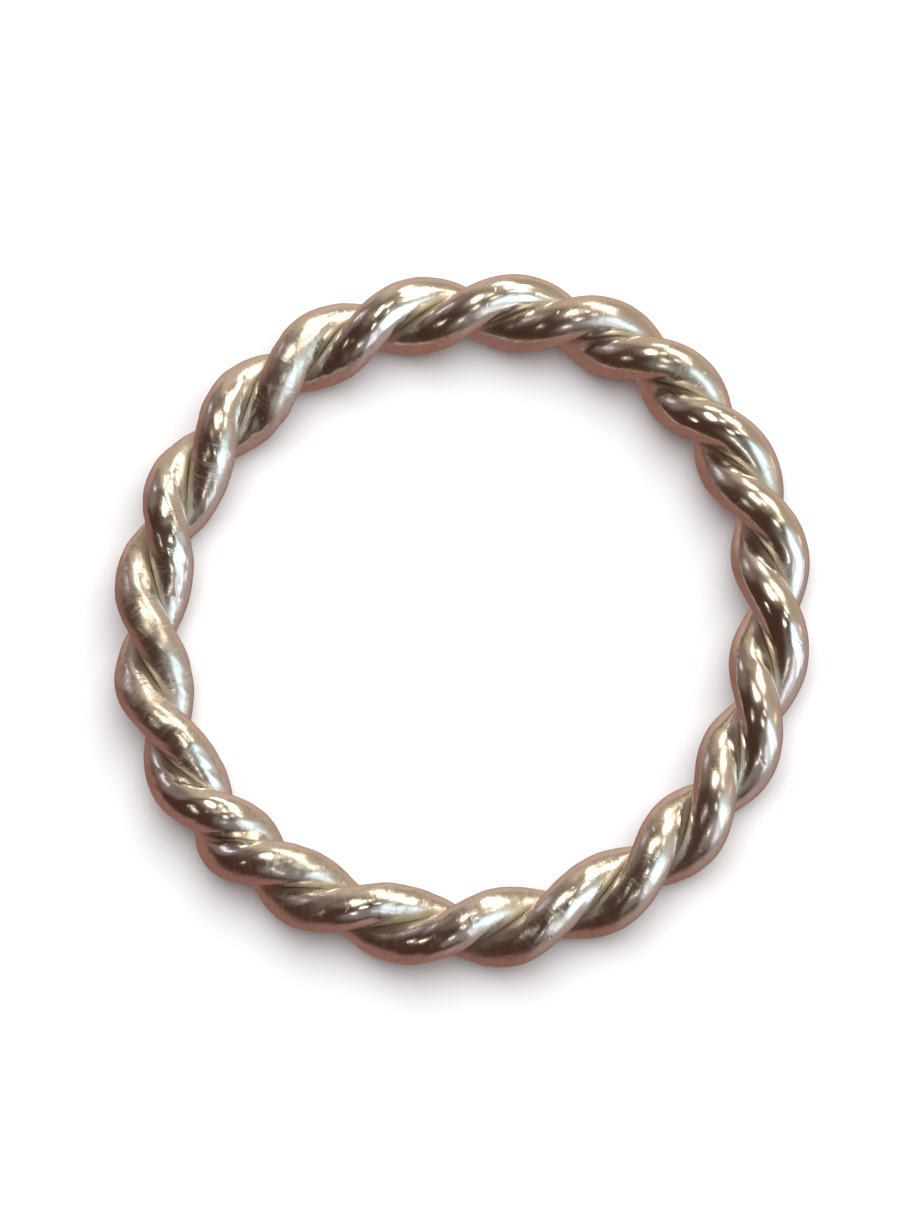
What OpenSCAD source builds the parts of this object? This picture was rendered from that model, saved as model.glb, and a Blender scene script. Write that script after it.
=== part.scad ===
// Finger ring made of two round wires twisted tightly around each other.
// The wires are pressed flat where they lie on each other, all along the twist.
// It lies flat on its side, as it rests by itself, with its lowest point on z = 0.
// Each wire closes on itself, so the number of full turns is a whole number.
// Angles run clockwise from +Y, seen from above, and the twist is left-handed.

/* [Ring] */
// Width of the finger hole between the innermost points of the twist, before the rope bulges
finger_d = 17.3; // [14:0.1:22]
// Full turns that the wires make around each other on their way round the ring
turns = 10; // [5:1:12]

/* [Wire] */
// Diameter of each of the two wires
wire_d = 1.35; // [0.7:0.05:1.5]
// Share of each wire's diameter that is pressed away, where the wires lie on each other
pressed_share = 0.2; // [0.1:0.05:0.3]
// Clearance between the wires where they lie on each other
wire_gap = 0.03; // [0.02:0.01:0.1]

/* [Hand work] */
// Share of the unevenness of the twisting by hand that shows, where 0 is a perfect rope
unevenness = 1; // [0:0.1:1.2]

/* [Hidden] */

// Corners of a wire's section, and sections along it in each full turn
SIDES = 12;
SECTIONS_PER_TURN = 24;
// Half the step, in degrees round the ring, over which a wire's direction is taken
HALF_STEP = 0.05;

// Unevenness of the twist, at equal steps round the ring from +Y.
// late is how far the twist lags behind an even one, as a share of a half turn.
// out is how far the rope's middle line bulges outward, as a share of the wire's diameter.
LATE = 0;
OUT = 1;
UNEVEN = [
    [ 0.15,  0.00],
    [ 0.15,  0.10],
    [ 0.05,  0.15],
    [-0.05,  0.00],
    [-0.05,  0.00],
    [-0.05, -0.10],
    [ 0.00, -0.10],
    [ 0.00, -0.05],
    [-0.05,  0.00],
    [ 0.00,  0.05],
    [ 0.00,  0.05],
    [ 0.10,  0.00],
    [ 0.10,  0.00],
    [-0.15,  0.05],
    [-0.10,  0.00],
    [-0.05, -0.05],
    [ 0.05, -0.05],
    [ 0.10, -0.10],
    [ 0.15, -0.05],
    [ 0.15,  0.00],
];

// The wires' centre lines wind round the rope's middle line at this distance
helix_r = (wire_d * (1 - pressed_share) + wire_gap) / 2;
// The rope's middle line, before it bulges
rope_r = finger_d / 2 + wire_d / 2 + helix_r;
sections = turns * SECTIONS_PER_TURN;

function unit(v) = v / norm(v);

// Value between b and c of a smooth curve through four evenly spaced values
function between(a, b, c, d, f) =
    b + f * (c - a) / 2
      + f * f * (a - 2.5 * b + 2 * c - d / 2)
      + f * f * f * (1.5 * (b - c) + (d - a) / 2);

function uneven_row(i, column) =
    let (rows = len(UNEVEN))
    UNEVEN[(i + rows) % rows][column];

// A column of the table at any angle round the ring, running smoothly through its rows
function uneven(column, angle) =
    let (place = (angle + 360) % 360 * len(UNEVEN) / 360, i = floor(place))
    unevenness * between(
        uneven_row(i - 1, column), uneven_row(i, column),
        uneven_row(i + 1, column), uneven_row(i + 2, column), place - i);

// How far a wire has wound round the middle line, from straight above it
function wound(wire, angle) = turns * angle - 180 * uneven(LATE, angle) + 180 * wire;

function outward(angle) = [sin(angle), cos(angle), 0];

// From the rope's middle line towards the wire's centre line
function off_middle(wire, angle) =
    sin(wound(wire, angle)) * outward(angle) + [0, 0, cos(wound(wire, angle))];

function middle_line(angle) = (rope_r + wire_d * uneven(OUT, angle)) * outward(angle);

function centre_line(wire, angle) = middle_line(angle) + helix_r * off_middle(wire, angle);

// A point of a wire, pressed back to the wire's own side of the rope where it would cross
function pressed(wire, point) =
    let (
        angle = atan2(point.x, point.y),
        off = off_middle(wire, angle),
        depth = wire_gap / 2 - (point - middle_line(angle)) * off
    )
    point + max(0, depth) * off;

// The corners of one section, square to the wire
function section(wire, angle) =
    let (
        along = unit(centre_line(wire, angle + HALF_STEP) - centre_line(wire, angle - HALF_STEP)),
        off = off_middle(wire, angle),
        normal = unit(off - along * (off * along)),
        across = cross(along, normal)
    )
    [for (k = [0 : SIDES - 1])
        pressed(wire, centre_line(wire, angle)
            + wire_d / 2 * (cos(360 * k / SIDES) * normal + sin(360 * k / SIDES) * across))];

function corners(wire) =
    [for (i = [0 : sections - 1]) each section(wire, 360 * i / sections)];

function low(points, axis) = min([for (p = points) p[axis]]);
function high(points, axis) = max([for (p = points) p[axis]]);

// The ring's own box, whose bottom centre is the origin
ring_corners = concat(corners(0), corners(1));
box_middle = [for (axis = [0, 1]) (low(ring_corners, axis) + high(ring_corners, axis)) / 2];
to_origin = [-box_middle.x, -box_middle.y, -low(ring_corners, 2)];

// Closed tube along one wire: 0 and 1 lie opposite each other across the rope.
// Each side of the tube is split so that it bulges outward, except next to the other wire,
// where the split runs the other way and keeps the facets back from that wire.
module strand(wire) {
    faces = [for (i = [0 : sections - 1], k = [0 : SIDES - 1])
        let (
            here = i * SIDES,
            next = (i + 1) % sections * SIDES,
            k2 = (k + 1) % SIDES,
            by_other_wire = k >= SIDES / 3 && k < SIDES * 2 / 3
        )
        each by_other_wire
            ? [[here + k, next + k, here + k2], [here + k2, next + k, next + k2]]
            : [[here + k, next + k2, here + k2], [here + k, next + k, next + k2]]];
    translate(to_origin) polyhedron(points = corners(wire), faces = faces);
}

module strand_one() {
    color("silver") strand(0);
}

module strand_two() {
    color("silver") strand(1);
}

strand_one();
strand_two();
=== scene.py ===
"""A finger ring of two polished silver wires twisted around each other, lying on a pale floor.

Lengths are in metres, unless a name ends in _PX or a comment says mm. Angles round the ring run
clockwise from +Y, seen from above, as in the part's own source.
"""
import math

import bpy
import numpy as np
from mathutils import Matrix, Vector


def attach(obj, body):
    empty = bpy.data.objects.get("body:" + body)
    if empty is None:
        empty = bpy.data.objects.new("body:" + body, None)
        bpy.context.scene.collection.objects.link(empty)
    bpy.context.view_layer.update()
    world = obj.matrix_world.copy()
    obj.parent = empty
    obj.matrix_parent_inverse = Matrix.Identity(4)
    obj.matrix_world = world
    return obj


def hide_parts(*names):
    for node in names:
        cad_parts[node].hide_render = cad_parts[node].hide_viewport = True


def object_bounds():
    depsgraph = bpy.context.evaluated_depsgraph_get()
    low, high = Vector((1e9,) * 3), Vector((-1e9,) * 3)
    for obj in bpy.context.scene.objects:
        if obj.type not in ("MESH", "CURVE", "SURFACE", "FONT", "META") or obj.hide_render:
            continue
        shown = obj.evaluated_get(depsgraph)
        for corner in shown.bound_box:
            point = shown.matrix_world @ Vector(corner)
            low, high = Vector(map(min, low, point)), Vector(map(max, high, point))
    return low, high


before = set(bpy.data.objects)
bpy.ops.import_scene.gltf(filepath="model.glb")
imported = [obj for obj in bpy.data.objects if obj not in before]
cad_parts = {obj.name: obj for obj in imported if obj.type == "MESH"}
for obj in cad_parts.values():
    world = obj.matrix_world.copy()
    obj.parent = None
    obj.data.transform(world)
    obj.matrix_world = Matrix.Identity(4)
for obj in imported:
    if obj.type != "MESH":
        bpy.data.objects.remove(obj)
cad_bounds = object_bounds()

MM = 0.001

# Sizes of the ring, as in the part's source
FINGER_D = 17.3 * MM
TURNS = 10
WIRE_D = 1.35 * MM
PRESSED_SHARE = 0.2
WIRE_GAP = 0.03 * MM
HELIX_R = (WIRE_D * (1 - PRESSED_SHARE) + WIRE_GAP) / 2
ROPE_R = FINGER_D / 2 + WIRE_D / 2 + HELIX_R

# Unevenness of the twist at equal steps round the ring: how far the twist lags, as a share
# of a half turn, and how far the rope bulges outward, as a share of the wire's diameter.
# A program fitted these rows to the photograph's outline, and they were rounded to
# 0.05 afterwards.
LATE, OUT = 0, 1
UNEVEN = [
    (0.15, 0.00), (0.15, 0.10), (0.05, 0.15), (-0.05, 0.00), (-0.05, 0.00),
    (-0.05, -0.10), (0.00, -0.10), (0.00, -0.05), (-0.05, 0.00), (0.00, 0.05),
    (0.00, 0.05), (0.10, 0.00), (0.10, 0.00), (-0.15, 0.05), (-0.10, 0.00),
    (-0.05, -0.05), (0.05, -0.05), (0.10, -0.10), (0.15, -0.05), (0.15, 0.00),
]

# What shows between the wires where they lie on each other
SEAM = 0.012 * MM

# How finely a wire is drawn: corners of its section, and sections along it
SIDES = 80
SECTIONS = 1200
# Half the step, in degrees round the ring, over which a wire's direction is taken
HALF_STEP = 0.02

# Handwork left in the wires' skin: seed, then depth, length along and round the wire, in mm
HANDWORK = [
    (11, 0.0100, 2.60, 1.20),
    (14, 0.0080, 1.10, 0.80),
    (12, 0.0070, 0.75, 0.38),
    (15, 0.0045, 2.00, 0.26),
    (13, 0.0012, 0.38, 0.20),
    (16, 0.0020, 0.20, 0.90),
]
# What is added to a seed for the second wire
SEED_STEP = 20
# How sharply waves are left out that are shorter than a ripple's own length
RIPPLE_FALLOFF = 2.5
# Where the groove begins and is full: cosine of the angle from the other wire's direction
GROOVE_EDGES = (-0.1, 0.75)
# The side of the ring that is worn and hammered most, and the share left on the other side
WORN_SIDE = 250
LEAST_WEAR = 0.42
# Where the wear begins and is full: cosine of the angle round the ring from the worn side
WEAR_EDGES = (-0.5, 0.6)

# The photograph's frame, and where the middle of the rope's circle lies in it. The circle's
# place and the camera's lean come from the same fit as the rows of UNEVEN.
PHOTO_W_PX = 920
PHOTO_H_PX = 1227
RING_X_PX = 461.2
RING_Y_PX = 616.8
ROPE_R_PX = 315.9
# The camera leans this far from straight above, towards the picture's bottom and right
LEAN_BACK = math.radians(12.9)
LEAN_RIGHT = math.radians(5.1)
CAMERA_DISTANCE = 0.21
NEAREST_SEEN = 0.01
FARTHEST_SEEN = 10.0
# The sensor's longer side, in mm
SENSOR = 36.0


def smooth_rows(column, degrees):
    """A column of UNEVEN at any angles, running smoothly through its rows."""
    rows = np.array([row[column] for row in UNEVEN])
    place = np.mod(degrees, 360.0) * len(rows) / 360.0
    i = np.floor(place).astype(int)
    f = place - i
    a, b, c, d = (rows[(i + k) % len(rows)] for k in (-1, 0, 1, 2))
    return (b + f * (c - a) / 2 + f**2 * (a - 2.5 * b + 2 * c - d / 2)
            + f**3 * (1.5 * (b - c) + (d - a) / 2))


def outward(degrees):
    t = np.radians(degrees)
    return np.stack([np.sin(t), np.cos(t), np.zeros_like(t)], axis=-1)


def off_middle(wire, degrees):
    """Unit vectors from the rope's middle line towards the wire's centre line."""
    wound = np.radians(TURNS * degrees - 180 * smooth_rows(LATE, degrees) + 180 * wire)
    up = np.array([0.0, 0.0, 1.0])
    return np.sin(wound)[:, None] * outward(degrees) + np.cos(wound)[:, None] * up


def middle_line(degrees):
    bulge = WIRE_D * smooth_rows(OUT, degrees)
    return (ROPE_R + bulge)[:, None] * outward(degrees)


def centre_line(wire, degrees):
    return middle_line(degrees) + HELIX_R * off_middle(wire, degrees)


def pressed(wire, points):
    """The points of a wire, moved back to its own side of the rope where they would cross."""
    degrees = np.degrees(np.arctan2(points[:, 0], points[:, 1]))
    off = off_middle(wire, degrees)
    side = np.sum((points - middle_line(degrees)) * off, axis=-1)
    return points + np.maximum(0.0, SEAM / 2 - side)[:, None] * off


def unit(v):
    return v / np.linalg.norm(v, axis=-1, keepdims=True)


def smooth_step(low, high, value):
    x = np.clip((value - low) / (high - low), 0.0, 1.0)
    return x * x * (3 - 2 * x)


def ripple(seed, along, across, length):
    """A closed field of soft bumps over one wire, with a spread of 1: sections by corners."""
    noise = np.random.default_rng(seed).normal(size=(SECTIONS, SIDES))
    waves_along = np.fft.fftfreq(SECTIONS, 1 / SECTIONS)[:, None] * along / length
    waves_across = np.fft.fftfreq(SIDES, 1 / SIDES)[None, :] * across / (math.pi * WIRE_D)
    keep = np.exp(-RIPPLE_FALLOFF * (waves_along**2 + waves_across**2))
    keep[0, 0] = 0.0
    field = np.real(np.fft.ifft2(np.fft.fft2(noise) * keep))
    return field / field.std()


def handwork(wire, length):
    """How far a wire's skin stands proud of the round wire: sections by corners."""
    return sum(depth * MM * ripple(seed + SEED_STEP * wire, along * MM, across * MM, length)
               for seed, depth, along, across in HANDWORK)


def worn_round_ring(degrees):
    """How worn the wires are at each angle, up to 1 on the worn side."""
    nearness = np.cos(np.radians(degrees - WORN_SIDE))
    return LEAST_WEAR + (1 - LEAST_WEAR) * smooth_step(*WEAR_EDGES, nearness)


def spokes(wire, degrees, turn):
    """Unit vectors square to a wire, from its centre line to the corners of each section."""
    along = unit(centre_line(wire, degrees + HALF_STEP) - centre_line(wire, degrees - HALF_STEP))
    off = off_middle(wire, degrees)
    normal = unit(off - along * np.sum(off * along, axis=-1, keepdims=True))
    across = np.cross(along, normal)
    return (np.cos(turn)[None, :, None] * normal[:, None, :]
            + np.sin(turn)[None, :, None] * across[:, None, :])


def wire_surface(wire):
    """One wire's skin: points as sections by corners, and each point's place on the wire.

    A corner's turn is 0 away from the rope's middle, and half a circle towards the other wire.
    """
    degrees = np.arange(SECTIONS) * 360.0 / SECTIONS
    turn = np.arange(SIDES) * 2 * np.pi / SIDES
    centre = centre_line(wire, degrees)
    hops = np.linalg.norm(np.roll(centre, -1, axis=0) - centre, axis=-1)
    length = hops.sum()
    everywhere = np.ones((SECTIONS, SIDES))
    groove = smooth_step(*GROOVE_EDGES, -np.cos(turn))[None, :] * everywhere
    wear = worn_round_ring(degrees)[:, None] * everywhere
    radius = WIRE_D / 2 + handwork(wire, length) * wear * (1 - groove)
    points = centre[:, None, :] + radius[:, :, None] * spokes(wire, degrees, turn)
    return {
        "points": pressed(wire, points.reshape(-1, 3)).reshape(SECTIONS, SIDES, 3),
        "turn": turn,
        "place": np.concatenate([[0.0], np.cumsum(hops)[:-1]]) / length,
        "length": length,
        "groove": groove,
        "wear": wear,
    }


def tube_mesh(name, skin):
    """A closed smooth tube, with its place on the wire as a UV map and as attributes."""
    mesh = bpy.data.meshes.new(name)
    grid = np.meshgrid(np.arange(SECTIONS), np.arange(SIDES), indexing="ij")
    section, corner = (numbers.ravel() for numbers in grid)
    here, ahead = section * SIDES, (section + 1) % SECTIONS * SIDES
    beside = (corner + 1) % SIDES
    quads = np.stack([here + corner, here + beside, ahead + beside, ahead + corner], axis=-1)
    mesh.from_pydata(skin["points"].reshape(-1, 3).tolist(), [], quads.tolist())
    mesh.shade_smooth()
    add_wire_uv(mesh, skin, section, corner)
    add_wire_attributes(mesh, skin, section, corner)
    return mesh


def add_wire_uv(mesh, skin, section, corner):
    """A UV map that runs round the wire in u and along it in v."""
    place = np.append(skin["place"], 1.0)
    here, ahead = place[section], place[section + 1]
    u = np.stack([corner, corner + 1, corner + 1, corner], axis=-1) / SIDES
    v = np.stack([here, here, ahead, ahead], axis=-1)
    layer = mesh.uv_layers.new(name="wire")
    layer.data.foreach_set("uv", np.stack([u, v], axis=-1).ravel().astype(np.float32))


def add_wire_attributes(mesh, skin, section, corner):
    """Each point's place on the wire, in mm, and how deep in the groove and how worn it is.

    In the place both ways round the tube are circles, so that no texture has a seam.
    """
    ring_r = skin["length"] / MM / (2 * math.pi)
    wire_r = WIRE_D / MM / 2
    lengthwise = 2 * np.pi * skin["place"][section]
    turn = skin["turn"][corner]
    place = np.stack([ring_r * np.cos(lengthwise), ring_r * np.sin(lengthwise),
                      wire_r * np.cos(turn)], axis=-1)
    add_attribute(mesh, "wire_place", "FLOAT_VECTOR", "vector", place)
    add_attribute(mesh, "wire_side", "FLOAT", "value", wire_r * np.sin(turn))
    add_attribute(mesh, "groove", "FLOAT", "value", skin["groove"])
    add_attribute(mesh, "wear", "FLOAT", "value", skin["wear"])


def add_attribute(mesh, name, kind, key, values):
    layer = mesh.attributes.new(name, kind, "POINT")
    layer.data.foreach_set(key, np.asarray(values, dtype=np.float32).ravel())


def shift_to_box(wires):
    """What moves the wires so that their common box sits where the CAD box does."""
    points = np.concatenate([skin["points"].reshape(-1, 3) for skin in wires])
    cad_low, cad_high = (np.array(corner) for corner in cad_bounds)
    return (cad_low + cad_high - points.min(axis=0) - points.max(axis=0)) / 2


class Graph:
    """Short ways to add the nodes of one material or world."""

    def __init__(self, tree):
        self.nodes, self.links = tree.nodes, tree.links

    def put(self, socket, value):
        if hasattr(value, "is_output"):
            self.links.new(value, socket)
        elif isinstance(value, (tuple, list)) and len(value) == 3 and socket.type == "RGBA":
            socket.default_value = (*value, 1.0)
        else:
            socket.default_value = value

    def maths(self, operation, a, b):
        node = self.nodes.new("ShaderNodeMath")
        node.operation = operation
        self.put(node.inputs[0], a)
        self.put(node.inputs[1], b)
        return node.outputs[0]

    def ramp(self, value, low, high, to_low=0.0, to_high=1.0):
        node = self.nodes.new("ShaderNodeMapRange")
        node.interpolation_type = "SMOOTHSTEP"
        for name, given in (("Value", value), ("From Min", low), ("From Max", high),
                            ("To Min", to_low), ("To Max", to_high)):
            self.put(node.inputs[name], given)
        return node.outputs["Result"]

    def mix(self, factor, a, b):
        node = self.nodes.new("ShaderNodeMix")
        node.data_type = "RGBA"
        for socket, value in ((node.inputs["Factor"], factor), (node.inputs[6], a),
                              (node.inputs[7], b)):
            self.put(socket, value)
        return node.outputs[2]

    def attribute(self, name, output):
        node = self.nodes.new("ShaderNodeAttribute")
        node.attribute_name = name
        return node.outputs[output]

    def wire_noise(self, along, across, detail=2.0):
        """Seamless noise on the wire's skin, with so many features to a mm each way."""
        scale = self.nodes.new("ShaderNodeVectorMath")
        scale.operation = "MULTIPLY"
        self.put(scale.inputs[0], self.attribute("wire_place", "Vector"))
        scale.inputs[1].default_value = (along, along, across)
        node = self.nodes.new("ShaderNodeTexNoise")
        node.noise_dimensions = "4D"
        self.put(node.inputs["Vector"], scale.outputs[0])
        self.put(node.inputs["W"],
                 self.maths("MULTIPLY", self.attribute("wire_side", "Fac"), across))
        node.inputs["Scale"].default_value = 1.0
        node.inputs["Detail"].default_value = detail
        return node.outputs["Fac"]


# The silver's colours: polished, tarnished a little in patches, darker drawing lines, and the
# film in the grooves, which is partly tarnish and partly painted shade between the wires
POLISHED = (0.94, 0.92, 0.89)
TARNISHED = (0.89, 0.85, 0.78)
LINE_COLOUR = (0.70, 0.63, 0.52)
GROOVE_FILM_AND_SHADE_COLOUR = (0.66, 0.59, 0.48)
# Roughness of the plain metal, from the smoothest patches to the roughest, and what the full
# strength of each mark adds to it
PLAIN_ROUGHNESS = (0.10, 0.17)
ADDED_ROUGHNESS = {"rough_lines": 0.06, "worn": 0.10, "scratches": 0.15, "pits": 0.12,
                   "film_and_shade": 0.30}
# How strongly highlights are drawn out round the wire, across its drawing lines, up to 1
ANISOTROPY = 0.55
# Height of the marks: the unit, how high the drawing lines stand in it, and how deep the rest
BUMP_UNIT = 0.0065 * MM
LINE_HEIGHT = 1.1
MARK_DEPTHS = {"scratches": 0.30, "pits": 1.0}


def silver_marks(graph):
    """Where the marks in the metal's skin lie and how strong they are, by name."""
    wear = graph.attribute("wear", "Fac")
    worn_patches = graph.ramp(graph.wire_noise(0.35, 0.5), 0.40, 0.62, 0.4, 1.0)
    worn = graph.maths("MULTIPLY", worn_patches, wear)
    cross_marks = graph.ramp(graph.wire_noise(10.0, 1.2, detail=2.5), 0.46, 0.72)
    # The film in the grooves: partly real tarnish, and its darker colour partly painted shade
    # between the wires
    in_groove = graph.ramp(graph.attribute("groove", "Fac"), 0.15, 0.95)
    film_and_shade_patches = graph.ramp(graph.wire_noise(1.2, 1.6, detail=3.0), 0.25, 0.65, 0.35, 0.9)
    draw_lines = graph.wire_noise(0.30, 4.0, detail=2.5)
    return {
        "draw_lines": draw_lines,
        "rough_lines": graph.ramp(draw_lines, 0.35, 0.75),
        "patches": graph.wire_noise(0.35, 0.7),
        "worn": worn,
        "scratches": graph.maths("MULTIPLY", cross_marks, worn),
        "pits": graph.ramp(graph.wire_noise(4.5, 4.5, detail=1.0), 0.69, 0.76),
        "film_and_shade": graph.maths("MULTIPLY", in_groove, film_and_shade_patches),
    }


def silver_colour(graph, marks):
    tarnish = graph.ramp(marks["patches"], 0.35, 0.68)
    lines = graph.ramp(marks["draw_lines"], 0.38, 0.70, 0.0, 0.35)
    lined = graph.mix(lines, graph.mix(tarnish, POLISHED, TARNISHED), LINE_COLOUR)
    # Partly tarnish, partly painted shade: the grooves between the wires take the darker film
    # colour
    return graph.mix(marks["film_and_shade"], lined, GROOVE_FILM_AND_SHADE_COLOUR)


def silver_roughness(graph, marks):
    rough = graph.ramp(marks["patches"], 0.30, 0.72, *PLAIN_ROUGHNESS)
    for name, added in ADDED_ROUGHNESS.items():
        rough = graph.maths("ADD", rough, graph.maths("MULTIPLY", marks[name], added))
    return rough


def silver_bump(graph, marks):
    height = graph.maths("MULTIPLY", marks["draw_lines"], LINE_HEIGHT)
    for name, depth in MARK_DEPTHS.items():
        height = graph.maths("SUBTRACT", height, graph.maths("MULTIPLY", marks[name], depth))
    bump = graph.nodes.new("ShaderNodeBump")
    bump.inputs["Strength"].default_value = 1.0
    bump.inputs["Distance"].default_value = BUMP_UNIT
    graph.put(bump.inputs["Height"], height)
    return bump.outputs["Normal"]


def silver():
    """Polished sterling wire: drawing lines along it, scratches across, and a darker film in the
    grooves that is partly tarnish and partly painted shade.
    """
    material = bpy.data.materials.new("polished_silver")
    material.use_nodes = True
    graph = Graph(material.node_tree)
    shader = material.node_tree.nodes["Principled BSDF"]
    shader.inputs["Metallic"].default_value = 1.0
    shader.inputs["Anisotropic"].default_value = ANISOTROPY
    marks = silver_marks(graph)
    graph.put(shader.inputs["Base Color"], silver_colour(graph, marks))
    graph.put(shader.inputs["Roughness"], silver_roughness(graph, marks))
    graph.put(shader.inputs["Normal"], silver_bump(graph, marks))
    tangent = graph.nodes.new("ShaderNodeTangent")
    tangent.direction_type = "UV_MAP"
    tangent.uv_map = "wire"
    graph.put(shader.inputs["Tangent"], tangent.outputs["Tangent"])
    return material


def add_wires():
    """The two wires, in place of the CAD model's strands. Returns where the ring's middle is."""
    wires = [wire_surface(wire) for wire in (0, 1)]
    shift = shift_to_box(wires)
    material = silver()
    for skin, node in zip(wires, ("strand_one", "strand_two")):
        skin["points"] = skin["points"] + shift
        skin["points"][..., 2] = np.maximum(skin["points"][..., 2], 0.0)
        mesh = tube_mesh("wire_" + node, skin)
        mesh.materials.append(material)
        piece = bpy.data.objects.new("wire_" + node, mesh)
        bpy.context.scene.collection.objects.link(piece)
        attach(piece, "root")
        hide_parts(node)
    return shift


def direction(azimuth, zenith):
    """Unit vector: azimuth clockwise from +Y, zenith down from straight up, in degrees."""
    a, z = math.radians(azimuth), math.radians(zenith)
    return Vector((math.sin(z) * math.sin(a), math.sin(z) * math.cos(a), math.cos(z)))


def hang_light(data, towards, distance):
    """A light at this distance from the origin, shining at it and hidden from the camera."""
    light = bpy.data.objects.new(data.name, data)
    bpy.context.scene.collection.objects.link(light)
    light.location = towards * distance
    light.rotation_mode = "QUATERNION"
    light.rotation_quaternion = towards.to_track_quat("Z", "Y")
    light.visible_camera = False
    return light


CREAM = (1.0, 0.94, 0.79)
DAYLIGHT = (0.64, 0.91, 1.0)
LILAC = (0.90, 0.86, 1.0)
AMBER = (1.0, 0.60, 0.34)
# The studio's light cards: name, azimuth, zenith, width and height in degrees, colour,
# brightness and shape
CARDS = [
    ("window", 116, 66, 26, 50, DAYLIGHT, 1.1, "RECTANGLE"),
    ("window_foot", 106, 101, 12, 8, LILAC, 1.0, "RECTANGLE"),
    ("warm_lamp", 84, 92, 9, 7, AMBER, 1.6, "ELLIPSE"),
    ("window_side", 143, 66, 10, 36, LILAC, 0.8, "RECTANGLE"),
    ("far_window", -47, 70, 12, 10, LILAC, 1.0, "RECTANGLE"),
    ("ceiling_row_a", 14, 66, 18, 13, CREAM, 3.5, "ELLIPSE"),
    ("ceiling_row_b", 42, 54, 25, 17, CREAM, 5.0, "ELLIPSE"),
    ("ceiling_row_c", 72, 46, 12, 9, CREAM, 3.5, "ELLIPSE"),
    ("spot_a", -2, 20, 13, 20, CREAM, 6.0, "ELLIPSE"),
    ("spot_b", 40, 26, 7, 7, CREAM, 5.0, "DISK"),
    ("spot_c", 95, 30, 6, 6, CREAM, 5.0, "DISK"),
    ("spot_d", 143, 22, 7, 7, CREAM, 6.0, "DISK"),
    ("spot_e", 175, 46, 6, 6, CREAM, 4.0, "DISK"),
    ("spot_f", 250, 40, 7, 7, CREAM, 3.0, "DISK"),
]
CARD_DISTANCE = 0.8
# The share of its box that a round card fills
ROUND_SHARE = math.pi / 4


def add_card(name, azimuth, zenith, width, height, colour, brightness, shape):
    """An area light that the ring mirrors as an even patch of the given brightness."""
    data = bpy.data.lights.new(name, "AREA")
    data.shape = shape
    data.size = 2 * CARD_DISTANCE * math.tan(math.radians(width / 2))
    data.size_y = 2 * CARD_DISTANCE * math.tan(math.radians(height / 2))
    area = data.size * data.size_y
    if shape in ("DISK", "ELLIPSE"):
        area *= ROUND_SHARE
    data.color = colour
    data.energy = math.pi * area * brightness
    card = hang_light(data, direction(azimuth, zenith), CARD_DISTANCE)
    card.visible_diffuse = False


# The room round the cards, as soft glows on a dark ceiling: azimuth, zenith, how wide in
# degrees the full glow and its edge are, and colour
CEILING = (0.060, 0.028, 0.019)
GLOWS = [
    (-5, 22, 6, 32, (0.20, 0.155, 0.11)),
    (0, 86, 14, 46, (0.54, 0.44, 0.34)),
    (50, 70, 22, 55, (0.34, 0.265, 0.18)),
    (82, 92, 20, 60, (0.42, 0.33, 0.24)),
    (118, 74, 14, 44, (0.58, 0.60, 0.60)),
    (165, 52, 6, 30, (0.22, 0.19, 0.175)),
    (-47, 70, 12, 34, (0.22, 0.16, 0.14)),
]
# The table under the ring: its colour towards the picture's bottom left, and how it changes
# towards two other sides: azimuth and colour
TABLE = (0.28, 0.14, 0.115)
TABLE_SIDES = [
    (105, (0.42, 0.33, 0.31)),
    (10, (0.60, 0.44, 0.35)),
]
# Where a side's colour begins and is full: cosine of the angle from its azimuth
TABLE_EDGES = (0.05, 0.95)
# The table's far edge stands higher at the bottom left: where straight up seems to be
TILTED_UP = (45, 5)
# Where the table ends and the room is full: cosine of the angle from that direction
HORIZON = (-0.25, 0.08)


def add_world():
    """The dim room with its glows, and the table below it, for the metal to mirror."""
    world = bpy.data.worlds.new("studio")
    bpy.context.scene.world = world
    world.use_nodes = True
    graph = Graph(world.node_tree)
    place = graph.nodes.new("ShaderNodeTexCoord").outputs["Generated"]

    def along(towards):
        dot = graph.nodes.new("ShaderNodeVectorMath")
        dot.operation = "DOT_PRODUCT"
        dot.inputs[1].default_value = towards
        graph.put(dot.inputs[0], place)
        return dot.outputs["Value"]

    sky = CEILING
    for azimuth, zenith, full, edge, colour in GLOWS:
        glow = graph.ramp(along(direction(azimuth, zenith)),
                          math.cos(math.radians(edge)), math.cos(math.radians(full)))
        sky = graph.mix(glow, sky, colour)
    table = TABLE
    for azimuth, colour in TABLE_SIDES:
        side = graph.ramp(along(direction(azimuth, 90)), *TABLE_EDGES)
        table = graph.mix(side, table, colour)
    room = graph.ramp(along(direction(*TILTED_UP)), *HORIZON)
    graph.put(world.node_tree.nodes["Background"].inputs["Color"],
              graph.mix(room, table, sky))


def plain_material(name, colour, emission=0.0):
    material = bpy.data.materials.new(name)
    material.use_nodes = True
    shader = material.node_tree.nodes["Principled BSDF"]
    shader.inputs["Base Color"].default_value = (*colour, 1.0)
    shader.inputs["Roughness"].default_value = 0.9
    shader.inputs["Specular IOR Level"].default_value = 0.0
    shader.inputs["Emission Color"].default_value = (*colour, 1.0)
    shader.inputs["Emission Strength"].default_value = emission
    return material


FLOOR_SIDE = 1.6
FLOOR_COLOUR = (0.84, 0.85, 0.87)
SURROUND_R = 0.75
SURROUND_COLOUR = (0.88, 0.88, 0.88)
# The light over the floor: azimuth and zenith in degrees, distance, width and watts
FLOOR_LIGHT_AT = (30, 18)
FLOOR_LIGHT_DISTANCE = 1.2
FLOOR_LIGHT_D = 1.6
FLOOR_LIGHT_W = 24.0


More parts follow.
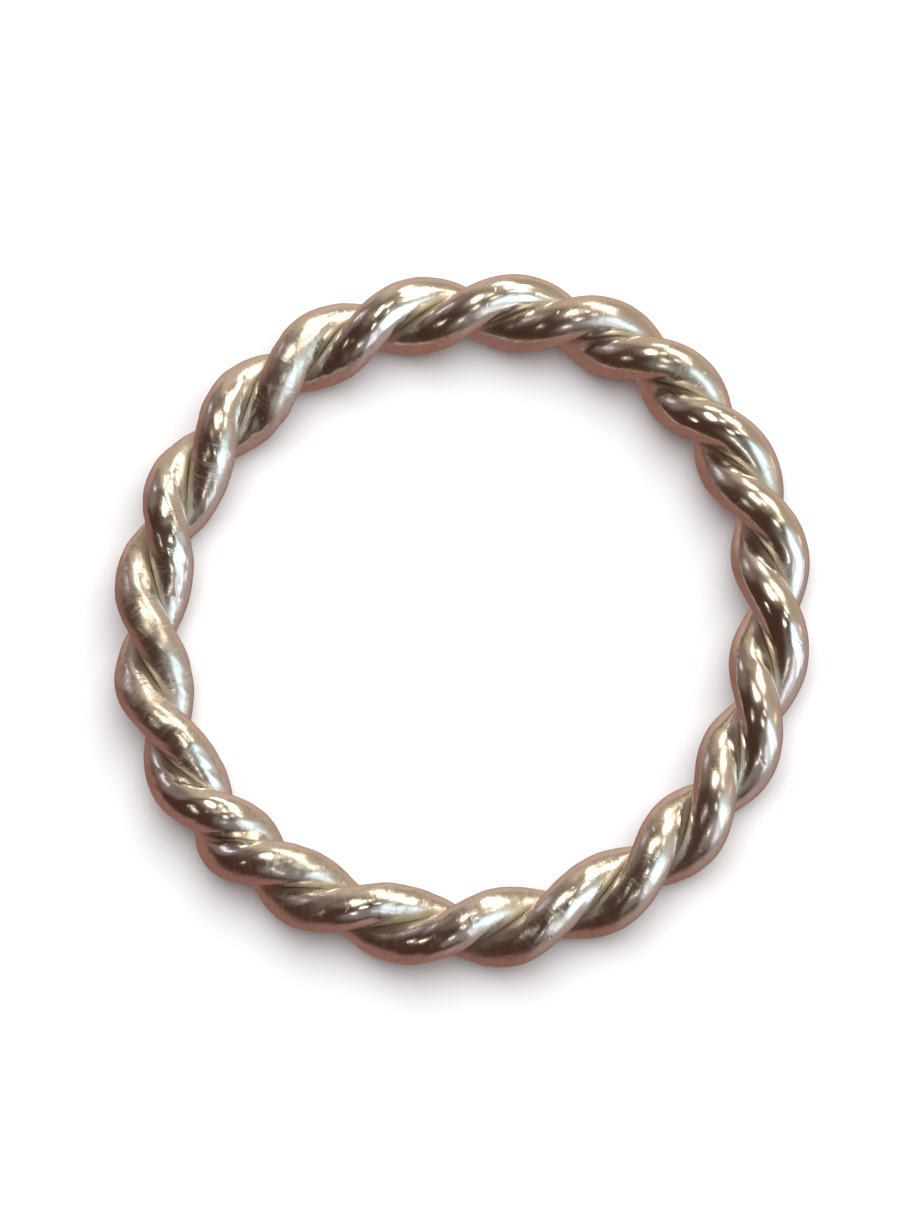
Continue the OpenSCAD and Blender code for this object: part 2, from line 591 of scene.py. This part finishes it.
def add_floor():
    """A pale floor, which the ring doesn't mirror."""
    bpy.ops.mesh.primitive_plane_add(size=FLOOR_SIDE, location=(0, 0, 0))
    floor = bpy.context.object
    floor.name = "floor"
    floor.data.materials.append(plain_material("pale_floor", FLOOR_COLOUR))
    floor.visible_glossy = False


def add_surround():
    """A pale sphere that only the camera sees, behind the floor in low views."""
    bpy.ops.mesh.primitive_uv_sphere_add(segments=48, ring_count=24, radius=SURROUND_R)
    surround = bpy.context.object
    surround.name = "surround"
    surround.data.materials.append(plain_material("pale_surround", SURROUND_COLOUR, 1.0))
    for ray in ("glossy", "diffuse", "transmission", "volume_scatter", "shadow"):
        setattr(surround, "visible_" + ray, False)


def add_floor_light():
    """A soft light for the floor, which the ring doesn't mirror."""
    data = bpy.data.lights.new("floor_light", "AREA")
    data.shape = "DISK"
    data.size = FLOOR_LIGHT_D
    data.energy = FLOOR_LIGHT_W
    lamp = hang_light(data, direction(*FLOOR_LIGHT_AT), FLOOR_LIGHT_DISTANCE)
    lamp.visible_glossy = False


def add_camera(shift):
    """The photograph's view: nearly from above, with the rope's circle where the photo has it."""
    data = bpy.data.cameras.new("camera")
    camera = bpy.data.objects.new("camera", data)
    bpy.context.scene.collection.objects.link(camera)
    bpy.context.scene.camera = camera
    back = Vector((math.sin(LEAN_RIGHT), -math.sin(LEAN_BACK), 0))
    back.z = math.sqrt(1 - back.length_squared)
    up = (Vector((0, 1, 0)) - back * back.y).normalized()
    right = up.cross(back)
    scale = ROPE_R / ROPE_R_PX
    aim = (Vector(shift)
           + right * (PHOTO_W_PX / 2 - RING_X_PX) * scale
           + up * (RING_Y_PX - PHOTO_H_PX / 2) * scale)
    data.sensor_width = SENSOR
    data.lens = SENSOR * CAMERA_DISTANCE / (PHOTO_H_PX * scale)
    data.clip_start = NEAREST_SEEN
    data.clip_end = FARTHEST_SEEN
    camera.rotation_mode = "QUATERNION"
    camera.rotation_quaternion = Matrix((right, up, back)).transposed().to_quaternion()
    camera.location = aim + back * CAMERA_DISTANCE


# How often light may run back and forth in the grooves between the wires
BOUNCES = 16

ring_middle = add_wires()
add_camera(ring_middle)
add_world()
for card in CARDS:
    add_card(*card)
add_floor()
add_surround()
add_floor_light()
bpy.context.scene.view_settings.view_transform = "Standard"
bpy.context.scene.cycles.max_bounces = BOUNCES
bpy.context.scene.cycles.glossy_bounces = BOUNCES
